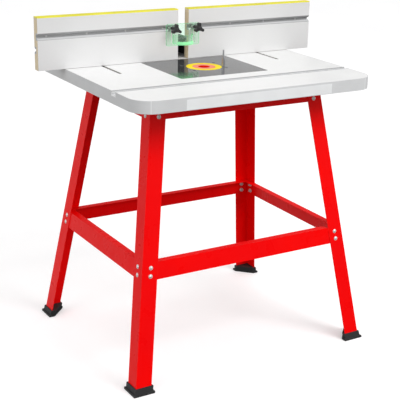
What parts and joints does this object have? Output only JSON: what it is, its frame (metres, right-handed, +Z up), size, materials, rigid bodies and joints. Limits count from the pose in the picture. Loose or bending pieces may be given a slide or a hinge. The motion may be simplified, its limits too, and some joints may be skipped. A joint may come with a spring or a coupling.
{
  "type": "router table",
  "caption": "Free-standing router table: splayed steel stand, laminated top with insert plate, sliding split fence with clear guard.",
  "frame": {"origin": "on the floor at the centre of the stand's footprint, which is the bottom centre of the bounding box", "axes": "+X to the right along the fence, +Y to the rear, +Z up; the operator stands at -Y"},
  "size_m": [0.974, 0.694, 1.029],
  "materials": {
    "laminate_white": "white laminate on fibreboard, satin",
    "band_grey": "satin grey edging",
    "label_pale": "blank satin film",
    "aluminium": "extruded, lightly brushed",
    "zinc_steel": "zinc plated",
    "plate_grey": "ground and lacquered, semi-gloss",
    "yellow": "gloss",
    "salmon": "gloss",
    "red_plastic": "gloss",
    "red_paint": "powder coat, semi-gloss",
    "rubber_black": "matt moulded rubber",
    "bracket_steel": "black powder coat",
    "hood_black": "moulded, fine texture",
    "knob_black": "moulded, fine texture",
    "guard_clear": "clear green tinted"
  },
  "bodies": {
    "stand": {"table_top": "laminate_white", "edge_band": "band_grey", "front_label": "label_pale", "mitre_track": "aluminium", "mitre_track_screws": "zinc_steel", "frame_bolts": "zinc_steel", "frame_nuts": "zinc_steel", "top_screws": "zinc_steel", "leg_front_left": "red_paint", "foot_front_left": "rubber_black", "leg_front_right": "red_paint", "foot_front_right": "rubber_black", "leg_rear_left": "red_paint", "foot_rear_left": "rubber_black", "leg_rear_right": "red_paint", "foot_rear_right": "rubber_black", "apron_front": "red_paint", "stretcher_front": "red_paint", "apron_rear": "red_paint", "stretcher_rear": "red_paint", "apron_left": "red_paint", "stretcher_left": "red_paint", "apron_right": "red_paint", "stretcher_right": "red_paint"},
    "fence": {"bracket_left": "bracket_steel", "bracket_right": "bracket_steel", "dust_hood": "hood_black", "hood_screws": "zinc_steel", "base_clamp_bolts": "zinc_steel", "face_clamp_bolts": "zinc_steel", "clamp_washers": "zinc_steel"},
    "left_face": {"face_left": "laminate_white", "face_edge_left": "yellow", "front_track_left": "aluminium", "rear_track_left": "aluminium", "track_screws_left": "zinc_steel"},
    "right_face": {"face_right": "laminate_white", "face_edge_right": "yellow", "front_track_right": "aluminium", "rear_track_right": "aluminium", "track_screws_right": "zinc_steel"},
    "guard_carrier": {"guard_bolts": "zinc_steel", "guard_washers": "zinc_steel"},
    "guard": {"guard_shield": "guard_clear"},
    "guard_knob_left": {"guard_knob_left": "knob_black"},
    "guard_knob_right": {"guard_knob_right": "knob_black"},
    "face_knob_outer_left": {"face_knob_outer_left": "knob_black"},
    "face_knob_inner_left": {"face_knob_inner_left": "knob_black"},
    "face_knob_inner_right": {"face_knob_inner_right": "knob_black"},
    "face_knob_outer_right": {"face_knob_outer_right": "knob_black"},
    "base_knob_left": {"base_knob_left": "knob_black"},
    "base_knob_right": {"base_knob_right": "knob_black"},
    "plate": {"insert_plate": "plate_grey", "plate_screws": "zinc_steel"},
    "outer_ring": {"ring_outer": "yellow"},
    "middle_ring": {"ring_middle": "salmon"},
    "centre_ring": {"ring_centre": "red_plastic"},
    "pin": {"starting_pin": "zinc_steel"}
  },
  "joints": [
    {"name": "fence_slide", "type": "slide", "parent": "stand", "child": "fence", "axis": [0, 1, 0], "range_m": [-0.13, 0.03]},
    {"name": "left_face_slide", "type": "slide", "parent": "fence", "child": "left_face", "axis": [1, 0, 0], "range_m": [-0.01, 0.015]},
    {"name": "right_face_slide", "type": "slide", "parent": "fence", "child": "right_face", "axis": [1, 0, 0], "range_m": [-0.015, 0.01]},
    {"name": "guard_shift", "type": "slide", "parent": "fence", "child": "guard_carrier", "axis": [1, 0, 0], "range_m": [-0.008, 0.008]},
    {"name": "guard_height", "type": "slide", "parent": "guard_carrier", "child": "guard", "axis": [0, 0, 1], "range_m": [0, 0.045]},
    {"name": "guard_knob_left_turn", "type": "hinge", "parent": "guard_carrier", "child": "guard_knob_left", "pos_m": [-0.044, 0.1, 0.971], "axis": [0, -1, 0], "continuous": true},
    {"name": "guard_knob_right_turn", "type": "hinge", "parent": "guard_carrier", "child": "guard_knob_right", "pos_m": [0.037, 0.1, 0.971], "axis": [0, -1, 0], "continuous": true},
    {"name": "face_knob_outer_left_turn", "type": "hinge", "parent": "fence", "child": "face_knob_outer_left", "pos_m": [-0.33, 0.167, 0.93], "axis": [0, 1, 0], "continuous": true},
    {"name": "face_knob_inner_left_turn", "type": "hinge", "parent": "fence", "child": "face_knob_inner_left", "pos_m": [-0.11, 0.167, 0.93], "axis": [0, 1, 0], "continuous": true},
    {"name": "face_knob_inner_right_turn", "type": "hinge", "parent": "fence", "child": "face_knob_inner_right", "pos_m": [0.11, 0.167, 0.93], "axis": [0, 1, 0], "continuous": true},
    {"name": "face_knob_outer_right_turn", "type": "hinge", "parent": "fence", "child": "face_knob_outer_right", "pos_m": [0.33, 0.167, 0.93], "axis": [0, 1, 0], "continuous": true},
    {"name": "base_knob_left_turn", "type": "hinge", "parent": "fence", "child": "base_knob_left", "pos_m": [-0.28, 0.188, 0.882], "axis": [0, 0, 1], "continuous": true},
    {"name": "base_knob_right_turn", "type": "hinge", "parent": "fence", "child": "base_knob_right", "pos_m": [0.28, 0.188, 0.882], "axis": [0, 0, 1], "continuous": true},
    {"name": "plate_lift", "type": "slide", "parent": "stand", "child": "plate", "axis": [0, 0, 1], "range_m": [0, 0.04]},
    {"name": "outer_ring_lift", "type": "slide", "parent": "plate", "child": "outer_ring", "axis": [0, 0, 1], "range_m": [0, 0.02]},
    {"name": "middle_ring_lift", "type": "slide", "parent": "outer_ring", "child": "middle_ring", "axis": [0, 0, 1], "range_m": [0, 0.02]},
    {"name": "centre_ring_lift", "type": "slide", "parent": "middle_ring", "child": "centre_ring", "axis": [0, 0, 1], "range_m": [0, 0.02]},
    {"name": "pin_lift", "type": "slide", "parent": "plate", "child": "pin", "axis": [0, 0, 1], "range_m": [0, 0.02]}
  ]
}
